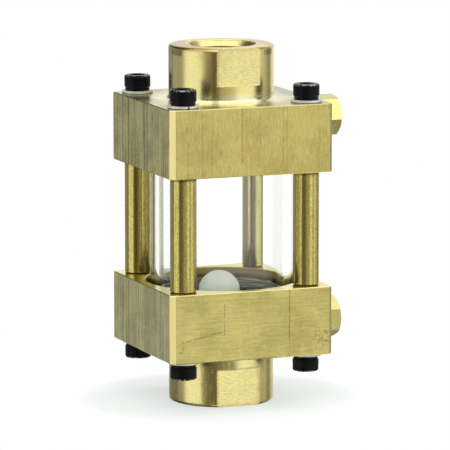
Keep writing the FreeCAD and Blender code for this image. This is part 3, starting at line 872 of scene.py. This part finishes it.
def make_camera():
    data = bpy.data.cameras.new("camera")
    data.sensor_width = 36.0
    data.lens = 352.4
    data.clip_start = 0.01
    data.clip_end = 100.0
    camera = bpy.data.objects.new("camera", data)
    bpy.context.scene.collection.objects.link(camera)
    bpy.context.scene.camera = camera
    level = math.cos(CAMERA_PITCH)
    forward = Vector((
        math.sin(CAMERA_YAW) * level, math.cos(CAMERA_YAW) * level, -math.sin(CAMERA_PITCH),
    ))
    right = Vector((math.cos(CAMERA_YAW), -math.sin(CAMERA_YAW), 0.0))
    above = right.cross(forward)
    spot = (
        Vector((0.0, 0.0, MIDDLE)) - forward * CAMERA_DISTANCE
        + right * CAMERA_SHIFT_RIGHT - above * CAMERA_SHIFT_DOWN
    )
    turned_to = Matrix((right, above, -forward)).transposed().to_4x4()
    camera.matrix_world = Matrix.Translation(spot * MM) @ turned_to


make_camera()


# Floor

FLOOR_STEPS = 96
FLOOR_RADIUS = 80.0
FLOOR_LEVEL = -0.02
FLOOR_LIGHT = (0.925, 0.99, 1.0)
FLOOR_MATT = (0.56, 0.56, 0.56)
FLOOR_POLISH = (0.88, 0.88, 0.88)
FLOOR_MIRROR_SHARE = 0.92


def floor_material():
    """White, with the object's shadow on it and a painted shadow round the object, and clear from
    below.

    The metal sees it as polished, with the studio mirrored in it."""
    material, g = new_graph("pale_floor")
    path = g.add("ShaderNodeLightPath").outputs
    seen = g.greatest(path["Is Camera Ray"], path["Is Glossy Ray"], path["Is Transmission Ray"])
    x, y, z = g.split(g.place())
    # Darker by the object as a painted shadow, white at the floor's rim
    glow_and_painted_shadow = g.step(g.from_axis(x, y), 46.0, 78.0, 0.58, 1.0)
    light = g.add("ShaderNodeEmission", {"Color": FLOOR_LIGHT, "Strength": g.product(glow_and_painted_shadow, seen)})
    matt = g.add("ShaderNodeBsdfDiffuse", {"Color": FLOOR_MATT})
    whole = g.add("ShaderNodeAddShader", {0: light.outputs[0], 1: matt.outputs[0]})
    shine = g.add("ShaderNodeBsdfPrincipled", {
        "Base Color": FLOOR_POLISH, "Metallic": 1.0, "Roughness": 0.1,
    })
    share = g.product(path["Is Glossy Ray"], FLOOR_MIRROR_SHARE)
    top = g.add("ShaderNodeMixShader", {0: share, 1: whole.outputs[0], 2: shine.outputs[0]})
    below = g.add("ShaderNodeNewGeometry").outputs["Backfacing"]
    clear = g.add("ShaderNodeBsdfTransparent")
    g.output(g.add("ShaderNodeMixShader", {0: below, 1: top.outputs[0], 2: clear.outputs[0]}))
    return material


def make_floor():
    points = [(0.0, 0.0, FLOOR_LEVEL)]
    points += ring(FLOOR_STEPS, lambda angle: FLOOR_RADIUS, FLOOR_LEVEL)
    faces = [(0, step + 1, (step + 1) % FLOOR_STEPS + 1) for step in range(FLOOR_STEPS)]
    mesh = bpy.data.meshes.new("floor")
    mesh.from_pydata([Vector(point) * MM for point in points], [], faces)
    floor = bpy.data.objects.new("floor", mesh)
    bpy.context.scene.collection.objects.link(floor)
    mesh.materials.append(floor_material())


make_floor()


# Light: a studio round the object, and a soft lamp overhead

# Degrees from -Y to +X, and the colour there
STUDIO = (
    (-180, 0.40, 0.40, 0.42), (-167, 0.37, 0.38, 0.41), (-150, 0.37, 0.38, 0.40),
    (-111, 0.27, 0.27, 0.27), (-107, 1.03, 1.03, 1.03), (-64, 1.03, 1.03, 1.03),
    (-56, 0.20, 0.165, 0.10), (-32, 0.18, 0.145, 0.08), (-10, 0.50, 0.47, 0.43),
    (9, 0.60, 0.58, 0.55), (17, 1.04, 1.04, 1.04), (66, 1.0, 1.0, 1.0),
    (75, 0.60, 0.58, 0.54), (99, 0.50, 0.47, 0.44), (107, 0.12, 0.10, 0.09),
    (114, 0.12, 0.10, 0.09), (120, 0.97, 0.97, 0.97), (165, 1.0, 1.0, 1.0),
    (174, 0.45, 0.45, 0.46), (180, 0.40, 0.40, 0.42),
)
STUDIO_CEILING = (0.17, 0.155, 0.13)
STUDIO_LEFT_BACK = (0.09, 0.075, 0.05)
STUDIO_FLOOR = (0.26, 0.24, 0.21)
WHITE = (1.0, 1.0, 1.0)
THROUGH_GLASS = 1.16


def make_world():
    """A studio of pale soft boxes and dim gaps by azimuth, with a white backdrop behind.

    The camera, and glass that is looked through, see white on every side."""
    world = bpy.data.worlds.new("studio")
    bpy.context.scene.world = world
    g = Graph(world)
    direction = g.add("ShaderNodeTexCoord").outputs["Generated"]
    x, y, z = g.split(direction)
    share = g.math("MULTIPLY_ADD", g.turn(x, y), 1.0 / math.tau, 0.5)
    ramp = g.add("ShaderNodeValToRGB", {0: share})
    elements = ramp.color_ramp.elements
    while len(elements) < len(STUDIO):
        elements.new(0.5)
    # All positions are set before the colours, in case a new position reorders the stops
    for element, (angle, *colour) in zip(elements, STUDIO):
        element.position = (angle + 180.0) / 360.0
    for element, (angle, *colour) in zip(elements, STUDIO):
        element.color = (*colour, 1.0)
    room = g.mix(g.step(z, 0.45, 0.62), ramp.outputs[0], STUDIO_CEILING)
    left_back = g.product(g.inside(share, 0.0, 0.185, 0.02), g.step(z, 0.10, 0.32))
    room = g.mix(left_back, room, STUDIO_LEFT_BACK)
    room = g.mix(g.step(z, -0.36, -0.15, 1.0, 0.0), room, STUDIO_FLOOR)

    # Glass that metal shows has the studio behind it, not the white of the camera's view
    path = g.add("ShaderNodeLightPath").outputs
    direct = g.math("LESS_THAN", path["Glossy Depth"], 0.5)
    one_wall = g.math("LESS_THAN", path["Transmission Depth"], 3.5)
    through = g.product(path["Is Transmission Ray"], g.greatest(direct, one_wall))
    seen = g.greatest(path["Is Camera Ray"], through)
    background = g.add("ShaderNodeBackground", {
        "Color": g.mix(seen, room, WHITE), "Strength": g.between(through, 1.0, THROUGH_GLASS),
    })
    g.add("ShaderNodeOutputWorld", {"Surface": background.outputs[0]})


def soft_lamp(name, place, aim, width, height, power):
    """A rectangular lamp that shines from a place towards a point, in metres and watts."""
    data = bpy.data.lights.new(name, "AREA")
    data.shape = "RECTANGLE"
    data.size = width
    data.size_y = height
    data.energy = power
    lamp = bpy.data.objects.new(name, data)
    bpy.context.scene.collection.objects.link(lamp)
    lamp.location = place
    lamp.rotation_mode = "QUATERNION"
    lamp.rotation_quaternion = (Vector(aim) - Vector(place)).to_track_quat("-Z", "Y")
    lamp.visible_camera = False


make_world()
soft_lamp(
    "top_soft_box", place=(0.0, -0.3, 1.1), aim=(0.0, 0.0, 0.07), width=2.4, height=2.0, power=17.0,
)

scene = bpy.context.scene
scene.view_settings.view_transform = "Standard"
